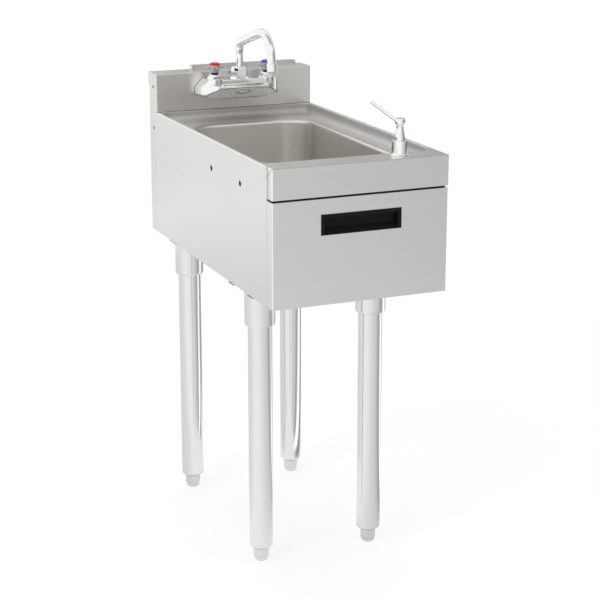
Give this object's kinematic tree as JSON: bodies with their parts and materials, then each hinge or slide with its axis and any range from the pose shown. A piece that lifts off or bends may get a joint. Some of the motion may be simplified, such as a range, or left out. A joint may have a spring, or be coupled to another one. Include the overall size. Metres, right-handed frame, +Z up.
{
  "type": "hand wash sink",
  "caption": "Narrow free-standing hand wash sink of folded steel sheet with a deep bowl, swing-spout faucet on its splash, a soap pump, a towel drawer and round adjustable legs.",
  "frame": {"origin": "on the floor, midway between the sides and midway between front and back", "axes": "+X to the right of someone who stands at the sink, +Y to the back, +Z up"},
  "size_m": [0.3048, 0.6096, 0.8935],
  "materials": {
    "sheet_steel": "satin brushed stainless sheet, grain along each panel",
    "bowl_steel": "satin pressed stainless with a softer polish in the bowl",
    "channel_steel": "mill finish folded stainless",
    "leg_steel": "satin polished stainless tube",
    "socket_steel": "cast and machined stainless",
    "fastener_steel": "plain stainless fastener",
    "foot_metal": "grey cast alloy with machined flats",
    "insert_plastic": "dark grey moulded plastic",
    "faucet_chrome": "bright chrome plate",
    "spout_chrome": "bright chrome plated tube",
    "pump_chrome": "bright chrome plate",
    "handle_chrome": "bright chrome plate",
    "brass": "plain turned brass",
    "drain_chrome": "bright plated drain",
    "pull_black": "black moulded plastic with a fine grain",
    "collar_black": "black plastic",
    "index_red": "red gloss plastic",
    "index_blue": "blue gloss plastic",
    "gasket_rubber": "black rubber",
    "bottle_plastic": "milky moulded plastic",
    "pump_plastic": "white moulded plastic",
    "spring_steel": "drawn spring wire"
  },
  "bodies": {
    "cabinet": {"sink_top": "sheet_steel", "sink_bowl": "bowl_steel", "left_side_panel": "sheet_steel", "right_side_panel": "sheet_steel", "backsplash": "sheet_steel", "rear_lip_bracket": "sheet_steel", "front_cross_channel": "channel_steel", "rear_cross_channel": "channel_steel", "leg_socket_front_left": "socket_steel", "leg_socket_front_right": "socket_steel", "leg_socket_rear_left": "socket_steel", "leg_socket_rear_right": "socket_steel", "socket_set_screws": "fastener_steel", "leg_tube_front_left": "leg_steel", "leg_tube_front_right": "leg_steel", "leg_tube_rear_left": "leg_steel", "leg_tube_rear_right": "leg_steel", "foot_inserts": "insert_plastic", "drain_body": "drain_chrome", "drain_gasket": "gasket_rubber", "drain_locknut": "brass", "drain_tailpiece": "drain_chrome", "tailpiece_nut": "brass", "left_drawer_rail": "channel_steel", "right_drawer_rail": "channel_steel", "rail_rivets": "fastener_steel", "faucet_body": "faucet_chrome", "faucet_gasket": "gasket_rubber", "faucet_shank_nuts": "brass", "valve_bonnets": "faucet_chrome", "handle_collars": "collar_black", "spout_nut": "faucet_chrome", "soap_base": "pump_chrome", "soap_locknut": "pump_plastic", "soap_bottle": "bottle_plastic", "soap_cylinder": "pump_plastic", "soap_dip_tube": "bottle_plastic", "soap_spring": "spring_steel"},
    "drawer": {"drawer_front": "sheet_steel", "drawer_pull": "pull_black", "drawer_tray": "channel_steel", "left_drawer_runner": "channel_steel", "right_drawer_runner": "channel_steel", "drawer_screws": "fastener_steel"},
    "basket": {"drain_basket": "drain_chrome"},
    "spout_body": {"spout": "spout_chrome", "spout_aerator": "spout_chrome"},
    "hot_valve": {"hot_stem": "brass", "hot_handle": "handle_chrome", "hot_index": "index_red"},
    "cold_valve": {"cold_stem": "brass", "cold_handle": "handle_chrome", "cold_index": "index_blue"},
    "soap_rod": {"soap_plunger": "pump_plastic"},
    "soap_top": {"soap_head": "pump_chrome", "soap_nozzle": "pump_chrome"},
    "adjuster_front_left": {"foot_front_left": "foot_metal"},
    "adjuster_front_right": {"foot_front_right": "foot_metal"},
    "adjuster_rear_left": {"foot_rear_left": "foot_metal"},
    "adjuster_rear_right": {"foot_rear_right": "foot_metal"}
  },
  "joints": [
    {"name": "drawer_slide", "type": "slide", "parent": "cabinet", "child": "drawer", "axis": [0, -1, 0], "range_m": [0, 0.15]},
    {"name": "basket_lift", "type": "slide", "parent": "cabinet", "child": "basket", "axis": [0, 0, 1], "range_m": [0, 0.18]},
    {"name": "spout_swing", "type": "hinge", "parent": "cabinet", "child": "spout_body", "pos_m": [0, 0.2317, 0.832], "axis": [0, 0, 1], "range_deg": [-110, 110]},
    {"name": "hot_turn", "type": "hinge", "parent": "cabinet", "child": "hot_valve", "pos_m": [-0.0508, 0.225, 0.812], "axis": [0, 0, 1], "range_deg": [0, 90]},
    {"name": "cold_turn", "type": "hinge", "parent": "cabinet", "child": "cold_valve", "pos_m": [0.0508, 0.225, 0.812], "axis": [0, 0, 1], "range_deg": [-90, 0]},
    {"name": "soap_press", "type": "slide", "parent": "cabinet", "child": "soap_rod", "axis": [0, 0, -1], "range_m": [0, 0.014], "stiffness_N_per_m": 250, "springref_m": -0.012, "deforming": ["soap_spring"]},
    {"name": "soap_swivel", "type": "hinge", "parent": "soap_rod", "child": "soap_top", "pos_m": [0.0791, -0.2753, 0.782], "axis": [0, 0, 1], "continuous": true},
    {"name": "adjust_front_left", "type": "slide", "parent": "cabinet", "child": "adjuster_front_left", "axis": [0, 0, -1], "range_m": [0, 0.02]},
    {"name": "adjust_front_right", "type": "slide", "parent": "cabinet", "child": "adjuster_front_right", "axis": [0, 0, -1], "range_m": [0, 0.02]},
    {"name": "adjust_rear_left", "type": "slide", "parent": "cabinet", "child": "adjuster_rear_left", "axis": [0, 0, -1], "range_m": [0, 0.02]},
    {"name": "adjust_rear_right", "type": "slide", "parent": "cabinet", "child": "adjuster_rear_right", "axis": [0, 0, -1], "range_m": [0, 0.02]}
  ]
}
